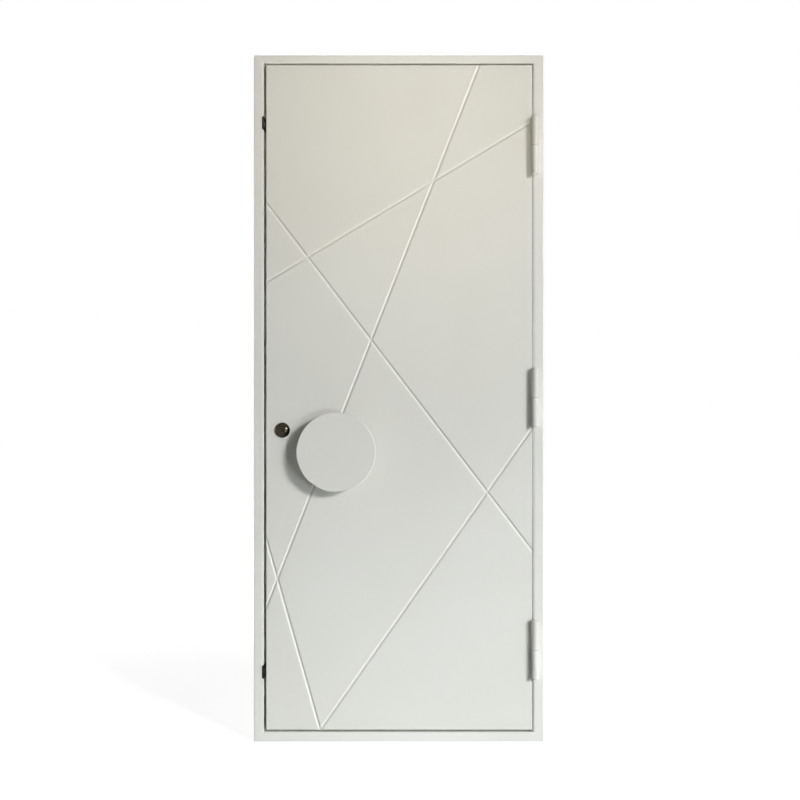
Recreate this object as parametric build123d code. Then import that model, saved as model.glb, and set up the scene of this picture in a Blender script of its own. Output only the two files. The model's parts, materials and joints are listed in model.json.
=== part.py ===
"""Side-hung iron door: a grooved steel leaf that swings in a welded tube frame on three barrel hinges.

Sizes are in millimetres. +X runs to the hinge side, -Y faces the person at the door, +Z is up.
The origin is the middle of the sill's underside, halfway through the frame's depth.
"""

import os
from math import hypot, sqrt

from build123d import *

# Leaf: a pressed front sheet folded round a tube core, closed by a back sheet
LEAF_WIDTH = 813.0
LEAF_HEIGHT = 2032.0
SHEET = 1.2
FOLD_INNER_RADIUS = 0.8
CORE_DEPTH = 30.0
CORE_WALL = 1.5
CORE_RADIUS = 2.5
LOCK_STILE = 80.0
HINGE_STILE = 40.0
TOP_RAIL = 40.0
BOTTOM_RAIL = 40.0

# Grooves pressed into the front sheet: sloping sides and a narrow floor
GROOVE_WIDTH = 11.0
GROOVE_FLOOR = 1.0
GROOVE_DEPTH = 3.0
# Groove ends, up from the leaf's bottom edge or across from its lock edge
STEEP_GROOVE_TOP_X = 651.3
STEEP_GROOVE_LOCK_Z = 375.5
UPPER_GROOVE_HINGE_Z = 1859.0
UPPER_GROOVE_LOCK_Z = 1369.0
FALLING_GROOVE_LOCK_Z = 1610.0
FALLING_GROOVE_HINGE_Z = 547.5
LOWER_GROOVE_HINGE_Z = 921.5
LOWER_GROOVE_LOCK_Z = 582.0
LOWER_GROOVES_FOOT_X = 165.0

# Frame: mitred tubes with square stop tubes behind the leaf
FRAME_DEPTH = 60.0
FRAME_WALL = 2.0
FRAME_RADIUS = 3.0
JAMB_FACE = 30.0
HEAD_FACE = 25.0
SILL_FACE = 30.0
STOP_SIZE = 18.0
STOP_WALL = 1.5
STOP_RADIUS = 2.0

# Gaps round the closed leaf
HINGE_GAP = 5.0
LOCK_GAP = 7.5
HEAD_GAP = 5.0
SILL_GAP = 6.0

# Wall anchor holes through both walls of each jamb, up from the leaf's bottom edge
ANCHOR_HOLE_RADIUS = 5.5
ANCHOR_OUTER_LOW_Z = 450.0
ANCHOR_OUTER_SPACING = 1150.0
ANCHOR_INNER_LOW_Z = 750.0
ANCHOR_INNER_SPACING = 550.0

# Barrel hinges
HINGE_END_DISTANCE = 248.0
HINGE_LENGTH = 180.0
PIVOT_ONTO_JAMB = 3.0
BARREL_RADIUS = 11.0
BARREL_STANDOFF = 2.5
BARREL_END_ROUND = 4.0
FOOT_WIDTH = 7.0
FOOT_REACH = 0.5
FOOT_SETBACK = 8.0
PIN_RADIUS = 6.0
PIN_CLEARANCE = 0.06
PIN_END_COVER = 20.0
PIN_TOP_CLEARANCE = 1.0
WASHER_THICKNESS = 2.5
WASHER_RADIUS = 9.5

# Disc pull
PULL_FROM_LOCK_EDGE = 216.5
PULL_HEIGHT = 851.0
DISC_RADIUS = 119.0
DISC_THICKNESS = 16.0
DISC_EDGE_ROUND = 1.5
NECK_RADIUS = 40.0
NECK_LENGTH = 34.0

# Cylinder lock
LOCK_BACKSET = 50.0
LOCK_HEIGHT = 916.0
CYLINDER_RADIUS = 9.0
CYLINDER_HOLE_CLEARANCE = 0.3
CYLINDER_RECESS = 1.0
GUARD_RADIUS = 23.0
GUARD_BAND = 3.0
GUARD_CROWN_RADIUS = 32.0
PLUG_RADIUS = 6.5
PLUG_CLEARANCE = 0.06
PLUG_LENGTH = 31.0
PLUG_END_CLEARANCE = 0.3
KEYWAY_WIDTH = 2.4
KEYWAY_HEIGHT = 9.0
KEYWAY_DEPTH = 27.0
TURN_SHANK = 20.0
TURN_PROUD = 2.0
TURN_LENGTH = 30.0
TURN_WIDTH = 9.0
TURN_DEPTH = 16.0
TURN_CORNER = 3.0

# Lock edge: forend with dead bolt, and a round bolt facing each strike plate
FOREND_WIDTH = 20.0
FOREND_HEIGHT = 180.0
FOREND_THICKNESS = 1.5
FOREND_CORNER = 4.0
DEAD_BOLT_DEPTH = 12.0
DEAD_BOLT_HEIGHT = 30.0
DEAD_BOLT_LENGTH = 35.0
BOLT_CLEARANCE = 0.3
BOLT_RADIUS = 6.0
BOLT_LENGTH = 40.0
BOLT_END_DISTANCE = 177.0

# Strike plates folded round the lock jamb's front corner
STRIKE_HEIGHT = 42.0
STRIKE_THICKNESS = 1.0
STRIKE_LIP = 2.0
STRIKE_CORNER = 3.5
POCKET_MARGIN = 3.0

# Places that follow from the sizes
FRAME_WIDTH = LEAF_WIDTH + LOCK_GAP + HINGE_GAP + 2 * JAMB_FACE
LOCK_JAMB_X = -FRAME_WIDTH / 2 + JAMB_FACE
HINGE_JAMB_X = FRAME_WIDTH / 2 - JAMB_FACE
LEAF_LOCK_X = LOCK_JAMB_X + LOCK_GAP
LEAF_HINGE_X = HINGE_JAMB_X - HINGE_GAP
LEAF_BOTTOM = SILL_FACE + SILL_GAP
LEAF_TOP = LEAF_BOTTOM + LEAF_HEIGHT
HEAD_Z = LEAF_TOP + HEAD_GAP
FRAME_HEIGHT = HEAD_Z + HEAD_FACE
FRAME_FRONT = -FRAME_DEPTH / 2
FRAME_BACK = FRAME_DEPTH / 2
LEAF_FRONT = FRAME_FRONT
CORE_FRONT = LEAF_FRONT + SHEET + GROOVE_DEPTH
CORE_BACK = CORE_FRONT + CORE_DEPTH
LEAF_BACK = CORE_BACK + SHEET
STOP_FRONT = FRAME_BACK - STOP_SIZE
CORE_MIDDLE = (CORE_FRONT + CORE_BACK) / 2
PIVOT_X = HINGE_JAMB_X + PIVOT_ONTO_JAMB
PIVOT_Y = FRAME_FRONT - BARREL_RADIUS - BARREL_STANDOFF
PULL_X = LEAF_LOCK_X + PULL_FROM_LOCK_EDGE
PULL_Z = LEAF_BOTTOM + PULL_HEIGHT
LOCK_X = LEAF_LOCK_X + LOCK_BACKSET
LOCK_Z = LEAF_BOTTOM + LOCK_HEIGHT
GUARD_BORE = CYLINDER_RADIUS + CYLINDER_HOLE_CLEARANCE
GUARD_CROWN_Z = GUARD_BAND - sqrt(GUARD_CROWN_RADIUS**2 - GUARD_RADIUS**2)
GUARD_HEIGHT = GUARD_CROWN_Z + sqrt(GUARD_CROWN_RADIUS**2 - GUARD_BORE**2)
CYLINDER_FRONT = LEAF_FRONT - GUARD_HEIGHT + CYLINDER_RECESS
CYLINDER_BACK = LEAF_BACK + GUARD_HEIGHT - CYLINDER_RECESS
UPPER_BOLT_Z = LEAF_TOP - BOLT_END_DISTANCE
LOWER_BOLT_Z = LEAF_BOTTOM + BOLT_END_DISTANCE
HINGE_HEIGHTS = {
    "upper": LEAF_TOP - HINGE_END_DISTANCE,
    "middle": (LEAF_TOP + LEAF_BOTTOM) / 2,
    "lower": LEAF_BOTTOM + HINGE_END_DISTANCE,
}


def block(x0, x1, y0, y1, z0, z1):
    """Box between two corners."""
    middle = ((x0 + x1) / 2, (y0 + y1) / 2, (z0 + z1) / 2)
    return Pos(*middle) * Box(x1 - x0, y1 - y0, z1 - z0)


def across(x, z, radius, y0, y1):
    """Round bar along Y."""
    return Pos(x, (y0 + y1) / 2, z) * Rot(90, 0, 0) * Cylinder(radius, y1 - y0)


def along_x(y, z, radius, x0, x1):
    """Round bar along X."""
    return Pos((x0 + x1) / 2, y, z) * Rot(0, 90, 0) * Cylinder(radius, x1 - x0)


def upright_tube(x0, x1, y0, y1, z0, z1, wall, radius):
    """Rectangular tube along Z."""
    width = x1 - x0
    depth = y1 - y0
    outline = RectangleRounded(width, depth, radius)
    hollow = RectangleRounded(width - 2 * wall, depth - 2 * wall, max(radius - wall, wall / 3))
    return Pos((x0 + x1) / 2, (y0 + y1) / 2, z0) * extrude(outline - hollow, z1 - z0)


def level_tube(x0, x1, y0, y1, z0, z1, wall, radius):
    """Rectangular tube along X."""
    height = z1 - z0
    depth = y1 - y0
    outline = RectangleRounded(height, depth, radius)
    hollow = RectangleRounded(height - 2 * wall, depth - 2 * wall, max(radius - wall, wall / 3))
    bar = extrude(outline - hollow, x1 - x0)
    return Pos(x0, (y0 + y1) / 2, (z0 + z1) / 2) * Rot(0, 90, 0) * bar


def prism(points, y0, y1):
    """Straight prism along Y over an outline of (x, z) points."""
    wire = Polyline(*[(x, y0, z) for x, z in points], close=True)
    return extrude(make_face(wire), amount=y1 - y0, dir=(0, 1, 0))


def mitred_ring(x0, x1, z0, z1, y0, y1, faces, wall, radius):
    """Four tubes that meet on the lines from the outer to the inner corners: left, right, bottom, top."""
    left, right, bottom, top = faces
    inner_left, inner_right = x0 + left, x1 - right
    inner_bottom, inner_top = z0 + bottom, z1 - top
    outlines = [
        [(x0, z0), (inner_left, inner_bottom), (inner_left, inner_top), (x0, z1)],
        [(x1, z0), (x1, z1), (inner_right, inner_top), (inner_right, inner_bottom)],
        [(x0, z0), (x1, z0), (inner_right, inner_bottom), (inner_left, inner_bottom)],
        [(x0, z1), (inner_left, inner_top), (inner_right, inner_top), (x1, z1)],
    ]
    tubes = [
        upright_tube(x0, inner_left, y0, y1, z0, z1, wall, radius),
        upright_tube(inner_right, x1, y0, y1, z0, z1, wall, radius),
        level_tube(x0, x1, y0, y1, z0, inner_bottom, wall, radius),
        level_tube(x0, x1, y0, y1, inner_top, z1, wall, radius),
    ]
    return [tube & prism(outline, y0, y1) for tube, outline in zip(tubes, outlines)]


def anchor_holes(x0, x1):
    """Bars that cut one jamb's wall anchor holes."""
    lows = [ANCHOR_OUTER_LOW_Z, ANCHOR_INNER_LOW_Z]
    spacings = [ANCHOR_OUTER_SPACING, ANCHOR_INNER_SPACING]
    heights = lows + [low + spacing for low, spacing in zip(lows, spacings)]
    return [along_x(CORE_MIDDLE, LEAF_BOTTOM + z, ANCHOR_HOLE_RADIUS, x0, x1) for z in heights]


def pocket(z, depth, height):
    """Block that cuts a bolt pocket through the lock jamb's inner wall."""
    y0 = CORE_MIDDLE - depth / 2 - POCKET_MARGIN
    y1 = CORE_MIDDLE + depth / 2 + POCKET_MARGIN
    z0 = z - height / 2 - POCKET_MARGIN
    z1 = z + height / 2 + POCKET_MARGIN
    return block(LOCK_JAMB_X - 2 * FRAME_WALL, LOCK_JAMB_X + LOCK_GAP, y0, y1, z0, z1)


def round_bolt_pocket(z):
    """Pocket for one of the round bolts."""
    return pocket(z, 2 * BOLT_RADIUS, 2 * BOLT_RADIUS)


def frame_tubes():
    """The four mitred tubes of the frame."""
    lock_jamb, hinge_jamb, sill, head = mitred_ring(
        -FRAME_WIDTH / 2, FRAME_WIDTH / 2, 0, FRAME_HEIGHT, FRAME_FRONT, FRAME_BACK,
        (JAMB_FACE, JAMB_FACE, SILL_FACE, HEAD_FACE), FRAME_WALL, FRAME_RADIUS,
    )
    lock_jamb -= anchor_holes(-FRAME_WIDTH / 2, LOCK_JAMB_X)
    lock_jamb -= pocket(LOCK_Z, DEAD_BOLT_DEPTH, DEAD_BOLT_HEIGHT)
    lock_jamb -= round_bolt_pocket(UPPER_BOLT_Z)
    lock_jamb -= round_bolt_pocket(LOWER_BOLT_Z)
    hinge_jamb -= anchor_holes(HINGE_JAMB_X, FRAME_WIDTH / 2)
    return {"lock_jamb": lock_jamb, "hinge_jamb": hinge_jamb, "frame_sill": sill, "frame_head": head}


def stop_tubes():
    """Square tubes behind the leaf's four edges; the level ones run between the jambs."""
    low, high = SILL_FACE + STOP_SIZE, HEAD_Z - STOP_SIZE
    section = (STOP_FRONT, FRAME_BACK)
    tube = (STOP_WALL, STOP_RADIUS)
    return {
        "lock_jamb_stop": upright_tube(LOCK_JAMB_X, LOCK_JAMB_X + STOP_SIZE, *section, low, high, *tube),
        "hinge_jamb_stop": upright_tube(HINGE_JAMB_X - STOP_SIZE, HINGE_JAMB_X, *section, low, high, *tube),
        "sill_stop": level_tube(LOCK_JAMB_X, HINGE_JAMB_X, *section, SILL_FACE, low, *tube),
        "head_stop": level_tube(LOCK_JAMB_X, HINGE_JAMB_X, *section, high, HEAD_Z, *tube),
    }


def strike_plate(z):
    """Plate folded round the lock jamb's corner: lip with cut corners, and slotted leg in the gap."""
    low, high = z - STRIKE_HEIGHT / 2, z + STRIKE_HEIGHT / 2
    bend_x, bend_y = LOCK_JAMB_X - FRAME_RADIUS, FRAME_FRONT + FRAME_RADIUS
    bend_radius = FRAME_RADIUS + STRIKE_THICKNESS
    lip_x, leg_x = bend_x - STRIKE_LIP, LOCK_JAMB_X + STRIKE_THICKNESS
    front = FRAME_FRONT - STRIKE_THICKNESS
    lip = block(lip_x, bend_x, front, FRAME_FRONT, low, high)
    leg = block(LOCK_JAMB_X, leg_x, bend_y, STOP_FRONT, low, high)
    ring = extrude(Circle(bend_radius) - Circle(FRAME_RADIUS), STRIKE_HEIGHT)
    bend = Pos(bend_x, bend_y, low) * ring & block(bend_x, bend_x + bend_radius, front, bend_y, low, high)
    outline = [
        (lip_x, low + STRIKE_CORNER), (lip_x + STRIKE_CORNER, low), (leg_x, low),
        (leg_x, high), (lip_x + STRIKE_CORNER, high), (lip_x, high - STRIKE_CORNER),
    ]
    plate = (lip + bend + leg) & prism(outline, front, STOP_FRONT)
    return plate - round_bolt_pocket(z)


def barrel(length):
    """Solid of revolution along +Z with a rounded far end."""
    return fillet(
        extrude(Circle(BARREL_RADIUS), length).edges().group_by(Axis.Z)[-1],
        BARREL_END_ROUND,
    )


def knuckle(length, bore_radius, bore_depth, side):
    """Half a hinge from its joint face up: barrel, bore and the foot that stands on the face beside it."""
    half = barrel(length)
    foot_x = side * (BARREL_RADIUS + FOOT_REACH - FOOT_WIDTH / 2)
    foot_y = (BARREL_RADIUS + BARREL_STANDOFF) / 2
    foot = Pos(foot_x, foot_y, (length - FOOT_SETBACK) / 2) * Box(
        FOOT_WIDTH, 2 * foot_y, length - FOOT_SETBACK
    )
    bore = Pos(0, 0, bore_depth / 2) * Cylinder(bore_radius, bore_depth)
    return half + foot - bore


def hinge(name, z):
    """One barrel hinge: lower half and pin on the jamb, washer between, upper half on the leaf."""
    half_length = (HINGE_LENGTH - WASHER_THICKNESS) / 2
    pin_reach = half_length - PIN_END_COVER
    pin_length = 2 * pin_reach + WASHER_THICKNESS
    upper = knuckle(half_length, PIN_RADIUS + PIN_CLEARANCE, pin_reach + PIN_TOP_CLEARANCE, -1)
    lower = mirror(knuckle(half_length, PIN_RADIUS, pin_reach, 1), Plane.XY)
    pin = Cylinder(PIN_RADIUS, pin_length)
    washer = Cylinder(WASHER_RADIUS, WASHER_THICKNESS) - Cylinder(PIN_RADIUS, WASHER_THICKNESS)
    place = Pos(PIVOT_X, PIVOT_Y, z)
    return {
        f"{name}_hinge_leaf_half": place * Pos(0, 0, WASHER_THICKNESS / 2) * upper,
        f"{name}_hinge_frame_half": place * Pos(0, 0, -WASHER_THICKNESS / 2) * lower,
        f"{name}_hinge_pin": place * pin,
        f"{name}_hinge_washer": place * washer,
    }


def on_lock_edge(height):
    """Point of the leaf's face on its lock edge, as (x, z)."""
    return LEAF_LOCK_X, LEAF_BOTTOM + height


def on_hinge_edge(height):
    """Point of the leaf's face on its hinge edge, as (x, z)."""
    return LEAF_HINGE_X, LEAF_BOTTOM + height


def groove_lines():
    """Start and end of each groove on the leaf's face, as (x, z)."""
    top = (LEAF_LOCK_X + STEEP_GROOVE_TOP_X, LEAF_TOP)
    foot = (LEAF_LOCK_X + LOWER_GROOVES_FOOT_X, LEAF_BOTTOM)
    return [
        (top, on_lock_edge(STEEP_GROOVE_LOCK_Z)),
        (on_hinge_edge(UPPER_GROOVE_HINGE_Z), on_lock_edge(UPPER_GROOVE_LOCK_Z)),
        (on_hinge_edge(FALLING_GROOVE_HINGE_Z), on_lock_edge(FALLING_GROOVE_LOCK_Z)),
        (on_hinge_edge(LOWER_GROOVE_HINGE_Z), foot),
        (on_lock_edge(LOWER_GROOVE_LOCK_Z), foot),
    ]


def groove(start, end, inset=0.0):
    """Bar of a groove's section along its line, past both of its ends, set back from the face."""
    run_x, run_z = end[0] - start[0], end[1] - start[1]
    length = hypot(run_x, run_z)
    overrun = 10 * GROOVE_WIDTH
    floor = GROOVE_FLOOR / 2
    mouth = GROOVE_WIDTH - floor
    section = Polygon(
        (-GROOVE_DEPTH, -mouth), (GROOVE_DEPTH, -floor), (GROOVE_DEPTH, floor), (-GROOVE_DEPTH, mouth),
        align=None,
    )
    bar = extrude(section, length + 2 * overrun, dir=(0, 0, 1))
    line = Plane(origin=(start[0], LEAF_FRONT + inset, start[1]), x_dir=(0, 1, 0), z_dir=(run_x, 0, run_z))
    return line * Pos(0, 0, -overrun) * bar


def folded_block(inset, radius):
    """Leaf's outline from its front to the core's back, inset on five sides, with rounded front edges."""
    body = block(
        LEAF_LOCK_X + inset, LEAF_HINGE_X - inset, LEAF_FRONT + inset, CORE_BACK,
        LEAF_BOTTOM + inset, LEAF_TOP - inset,
    )
    return fillet(body.faces().sort_by(Axis.Y)[0].edges(), radius)


def leaf_sheets():
    """Front sheet with pressed grooves and folded edges, and the back sheet, cut for lock and bolts."""
    lines = groove_lines()
    hollow = folded_block(SHEET, FOLD_INNER_RADIUS) - [groove(*ends, SHEET) for ends in lines]
    front = folded_block(0, FOLD_INNER_RADIUS + SHEET) - hollow
    front -= [groove(*ends) for ends in lines]
    back = block(LEAF_LOCK_X, LEAF_HINGE_X, CORE_BACK, LEAF_BACK, LEAF_BOTTOM, LEAF_TOP)
    cylinder_hole = across(LOCK_X, LOCK_Z, GUARD_BORE, LEAF_FRONT, LEAF_BACK)
    return {
        "leaf_front_sheet": front - [cylinder_hole, *bolt_holes()],
        "leaf_back_sheet": back - cylinder_hole,
    }


def leaf_core():
    """Mitred tubes inside the folded sheet, cut for the lock cylinder and the bolts."""
    lock_stile, hinge_stile, bottom_rail, top_rail = mitred_ring(
        LEAF_LOCK_X + SHEET, LEAF_HINGE_X - SHEET, LEAF_BOTTOM + SHEET, LEAF_TOP - SHEET,
        CORE_FRONT, CORE_BACK, (LOCK_STILE, HINGE_STILE, BOTTOM_RAIL, TOP_RAIL), CORE_WALL, CORE_RADIUS,
    )
    lock_stile -= across(LOCK_X, LOCK_Z, GUARD_BORE, CORE_FRONT, CORE_BACK)
    lock_stile -= bolt_holes()
    return {
        "leaf_lock_stile": lock_stile,
        "leaf_hinge_stile": hinge_stile,
        "leaf_bottom_rail": bottom_rail,
        "leaf_top_rail": top_rail,
    }


def dead_bolt(clearance=0.0):
    """Square bolt drawn back level with the forend, or its hole with a clearance."""
    depth = DEAD_BOLT_DEPTH / 2 + clearance
    height = DEAD_BOLT_HEIGHT / 2 + clearance
    tip = LEAF_LOCK_X - FOREND_THICKNESS - clearance
    tail = LEAF_LOCK_X - FOREND_THICKNESS + DEAD_BOLT_LENGTH
    return block(tip, tail, CORE_MIDDLE - depth, CORE_MIDDLE + depth, LOCK_Z - height, LOCK_Z + height)


def round_bolt(z, clearance=0.0):
    """Round bolt drawn back level with the leaf's edge, or its hole with a clearance."""
    tip = LEAF_LOCK_X - clearance
    tail = LEAF_LOCK_X + BOLT_LENGTH
    return along_x(CORE_MIDDLE, z, BOLT_RADIUS + clearance, tip, tail)


def bolt_holes():
    """Bars that cut the leaf's lock edge for its three bolts."""
    round_holes = [round_bolt(z, BOLT_CLEARANCE) for z in (UPPER_BOLT_Z, LOWER_BOLT_Z)]
    return [dead_bolt(BOLT_CLEARANCE), *round_holes]


def forend():
    """Plate on the leaf's edge round the dead bolt."""
    outline = RectangleRounded(FOREND_HEIGHT, FOREND_WIDTH, FOREND_CORNER)
    plate = Rot(0, 90, 0) * extrude(outline, FOREND_THICKNESS)
    return Pos(LEAF_LOCK_X - FOREND_THICKNESS, CORE_MIDDLE, LOCK_Z) * plate - dead_bolt(BOLT_CLEARANCE)


def guard():
    """Lock guard standing on the XY plane: a ring with a ball-shaped crown, open for the cylinder."""
    ring = extrude(Circle(GUARD_RADIUS) - Circle(GUARD_BORE), GUARD_CROWN_RADIUS)
    return ring & Pos(0, 0, GUARD_CROWN_Z) * Sphere(GUARD_CROWN_RADIUS)


def lock_cylinder():
    """Round housing through the leaf, bored from both ends for the plug and the turn."""
    body = across(LOCK_X, LOCK_Z, CYLINDER_RADIUS, CYLINDER_FRONT, CYLINDER_BACK)
    bore = PLUG_RADIUS + PLUG_CLEARANCE
    plug_end = CYLINDER_FRONT + PLUG_LENGTH + PLUG_END_CLEARANCE
    turn_end = CYLINDER_BACK - TURN_SHANK - PLUG_END_CLEARANCE
    body -= across(LOCK_X, LOCK_Z, bore, CYLINDER_FRONT, plug_end)
    return body - across(LOCK_X, LOCK_Z, bore, turn_end, CYLINDER_BACK)


def key_plug():
    """Turning plug with its keyway, level with the front of the cylinder."""
    plug = across(LOCK_X, LOCK_Z, PLUG_RADIUS, CYLINDER_FRONT, CYLINDER_FRONT + PLUG_LENGTH)
    return plug - block(
        LOCK_X - KEYWAY_WIDTH / 2, LOCK_X + KEYWAY_WIDTH / 2,
        CYLINDER_FRONT, CYLINDER_FRONT + KEYWAY_DEPTH,
        LOCK_Z - KEYWAY_HEIGHT / 2, LOCK_Z + KEYWAY_HEIGHT / 2,
    )


def thumb_turn():
    """Turn on the inside: a round shank in the cylinder and a flat grip across it."""
    shank = across(LOCK_X, LOCK_Z, PLUG_RADIUS, CYLINDER_BACK - TURN_SHANK, CYLINDER_BACK + TURN_PROUD)
    start = CYLINDER_BACK + TURN_PROUD
    grip = block(
        LOCK_X - TURN_WIDTH / 2, LOCK_X + TURN_WIDTH / 2, start, start + TURN_DEPTH,
        LOCK_Z - TURN_LENGTH / 2, LOCK_Z + TURN_LENGTH / 2,
    )
    return shank + fillet(grip.edges().filter_by(Axis.X), TURN_CORNER)


def lock_parts():
    """Guards on both faces, cylinder, plug, turn and the bolts in the leaf's edge."""
    front_guard = Pos(LOCK_X, LEAF_FRONT, LOCK_Z) * Rot(90, 0, 0) * guard()
    back_guard = Pos(LOCK_X, LEAF_BACK, LOCK_Z) * Rot(-90, 0, 0) * guard()
    return {
        "lock_guard_outside": front_guard,
        "lock_guard_inside": back_guard,
        "lock_cylinder": lock_cylinder(),
        "key_plug": key_plug(),
        "thumb_turn": thumb_turn(),
        "lock_forend": forend(),
        "dead_bolt": dead_bolt(),
        "upper_bolt": round_bolt(UPPER_BOLT_Z),
        "lower_bolt": round_bolt(LOWER_BOLT_Z),
    }


def disc_pull():
    """Round plate to grip by its rim, on a neck that keeps it clear of the leaf."""
    disc_back = LEAF_FRONT - NECK_LENGTH
    disc = across(PULL_X, PULL_Z, DISC_RADIUS, disc_back - DISC_THICKNESS, disc_back)
    return {
        "pull_disc": fillet(disc.edges().filter_by(GeomType.CIRCLE), DISC_EDGE_ROUND),
        "pull_neck": across(PULL_X, PULL_Z, NECK_RADIUS, disc_back, LEAF_FRONT),
    }


def door():
    """Every piece of the door under its own name."""
    pieces = {**frame_tubes(), **stop_tubes()}
    pieces["upper_strike_plate"] = strike_plate(UPPER_BOLT_Z)
    pieces["lower_strike_plate"] = strike_plate(LOWER_BOLT_Z)
    for name, z in HINGE_HEIGHTS.items():
        pieces.update(hinge(name, z))
    pieces.update(leaf_sheets())
    pieces.update(leaf_core())
    pieces.update(disc_pull())
    pieces.update(lock_parts())
    return pieces


os.makedirs("parts", exist_ok=True)
for node, piece in door().items():
    export_step(piece, f"parts/{node}.step")
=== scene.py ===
"""Looks of a white-painted iron door in its welded frame.

The solids are loaded as they are. This file paints and plates them, sets the strip in
the hinge gap, lays the weld beads, drives the screws, and sets the floor, the lamps and
the camera.
Lengths are in metres, in the door's own frame: +X to the hinges, -Y to the front, +Z up.
"""

import json
import logging
import math
from collections.abc import Callable
from dataclasses import dataclass
from enum import Enum
from typing import Any

import bmesh
import bpy
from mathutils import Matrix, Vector


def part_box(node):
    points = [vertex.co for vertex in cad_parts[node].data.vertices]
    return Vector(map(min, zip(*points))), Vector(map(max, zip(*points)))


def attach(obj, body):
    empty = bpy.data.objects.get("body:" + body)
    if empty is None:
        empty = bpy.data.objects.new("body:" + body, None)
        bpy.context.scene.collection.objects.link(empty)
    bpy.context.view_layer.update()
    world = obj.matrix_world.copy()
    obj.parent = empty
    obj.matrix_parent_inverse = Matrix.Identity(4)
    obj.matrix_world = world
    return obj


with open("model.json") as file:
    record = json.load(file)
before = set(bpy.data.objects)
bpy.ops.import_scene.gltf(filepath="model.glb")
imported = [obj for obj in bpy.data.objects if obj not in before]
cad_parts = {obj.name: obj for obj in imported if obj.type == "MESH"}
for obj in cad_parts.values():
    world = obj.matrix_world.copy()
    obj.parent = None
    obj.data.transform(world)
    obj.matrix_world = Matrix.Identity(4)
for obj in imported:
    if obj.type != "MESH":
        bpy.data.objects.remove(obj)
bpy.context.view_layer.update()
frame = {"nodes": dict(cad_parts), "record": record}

Colour = tuple[float, float, float]

MM = 0.001
MERGE_DISTANCE = 1e-6
NOISE_MIDDLE = 0.5
RING_POINTS = 72
WHITE: Colour = (1.0, 1.0, 1.0)
HINGES = ("upper", "middle", "lower")
STRIP = "hinge_gap_strip"
FLOOR = "studio_floor"
LOG = logging.getLogger("iron_door")


class Body(Enum):
    """The bodies that pieces ride on."""

    FRAME = "frame"
    LEAF = "leaf"


class Slot(Enum):
    """The finishes of the door, under the names that its record gives them."""

    FRAME_PAINT = "frame_paint"
    LEAF_PAINT = "leaf_paint"
    BLACK_STRIKE = "black_strike"
    DARK_PLATING = "dark_plating"
    BRIGHT_STEEL = "bright_steel"


def rgba(colour: Colour) -> tuple[float, float, float, float]:
    """Add full opacity to a colour."""
    return (*colour, 1.0)


class Wiring:
    """A node tree with short ways to place nodes and join them."""

    def __init__(self, tree: bpy.types.NodeTree) -> None:
        """Keep the tree that the nodes go into."""
        self.tree = tree

    @staticmethod
    def socket(sockets: Any, key: str) -> bpy.types.NodeSocket:
        """Find a socket by its identifier, or else by its name.

        Args:
            sockets: A node's inputs or outputs.
            key: The socket's identifier or name.

        Returns:
            The socket.
        """
        for candidate in sockets:
            if candidate.identifier == key:
                return candidate
        return sockets[key]

    def add(self, kind: str, inputs: dict[str, Any] | None = None, **settings: Any) -> bpy.types.Node:
        """Place a node.

        Args:
            kind: The node's type.
            inputs: Values or source sockets for its inputs.
            settings: Properties of the node.

        Returns:
            The new node.
        """
        node = self.tree.nodes.new(kind)
        for name, value in settings.items():
            setattr(node, name, value)
        for key, value in (inputs or {}).items():
            self.feed(self.socket(node.inputs, key), value)
        return node

    def feed(self, target: bpy.types.NodeSocket, value: Any) -> None:
        """Join a source socket to an input, or set the input's value."""
        if isinstance(value, bpy.types.NodeSocket):
            self.tree.links.new(value, target)
        else:
            target.default_value = value

    def out(self, kind: str, key: str, inputs: dict[str, Any] | None = None,
            **settings: Any) -> bpy.types.NodeSocket:
        """Place a node and take one of its outputs.

        Args:
            kind: The node's type.
            key: The output's identifier or name.
            inputs: Values or source sockets for its inputs.
            settings: Properties of the node.

        Returns:
            The output socket.
        """
        return self.socket(self.add(kind, inputs, **settings).outputs, key)

    def maths(self, operation: str, first: Any, second: Any = 0.0) -> bpy.types.NodeSocket:
        """Work out a value from one or two others."""
        node = self.add("ShaderNodeMath", operation=operation)
        self.feed(node.inputs[0], first)
        self.feed(node.inputs[1], second)
        return node.outputs[0]

    def spread(self, value: Any, low: Any, high: Any, to_low: Any = 0.0, to_high: Any = 1.0,
               smooth: bool = False) -> bpy.types.NodeSocket:
        """Map a value from one range to another.

        Args:
            value: The value or its socket.
            low: Start of the range it comes from.
            high: End of the range it comes from.
            to_low: Start of the range it goes to.
            to_high: End of the range it goes to.
            smooth: Whether the ends of the range ease in.

        Returns:
            The mapped value's socket.
        """
        return self.out(
            "ShaderNodeMapRange", "Result",
            {"Value": value, "From Min": low, "From Max": high, "To Min": to_low, "To Max": to_high},
            interpolation_type="SMOOTHSTEP" if smooth else "LINEAR",
        )

    def mix(self, share: Any, first: Any, second: Any) -> bpy.types.NodeSocket:
        """Mix two colours."""
        return self.out(
            "ShaderNodeMix", "Result_Color",
            {"Factor_Float": share, "A_Color": first, "B_Color": second}, data_type="RGBA",
        )

    def noise(self, place: Any, scale: Any, detail: float = 2.0) -> bpy.types.NodeSocket:
        """Place a noise texture and take its value."""
        return self.out("ShaderNodeTexNoise", "Fac", {"Vector": place, "Scale": scale, "Detail": detail})

    def object_place(self) -> bpy.types.NodeSocket:
        """Take the place on the piece, in metres."""
        return self.out("ShaderNodeTexCoord", "Object")


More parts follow.
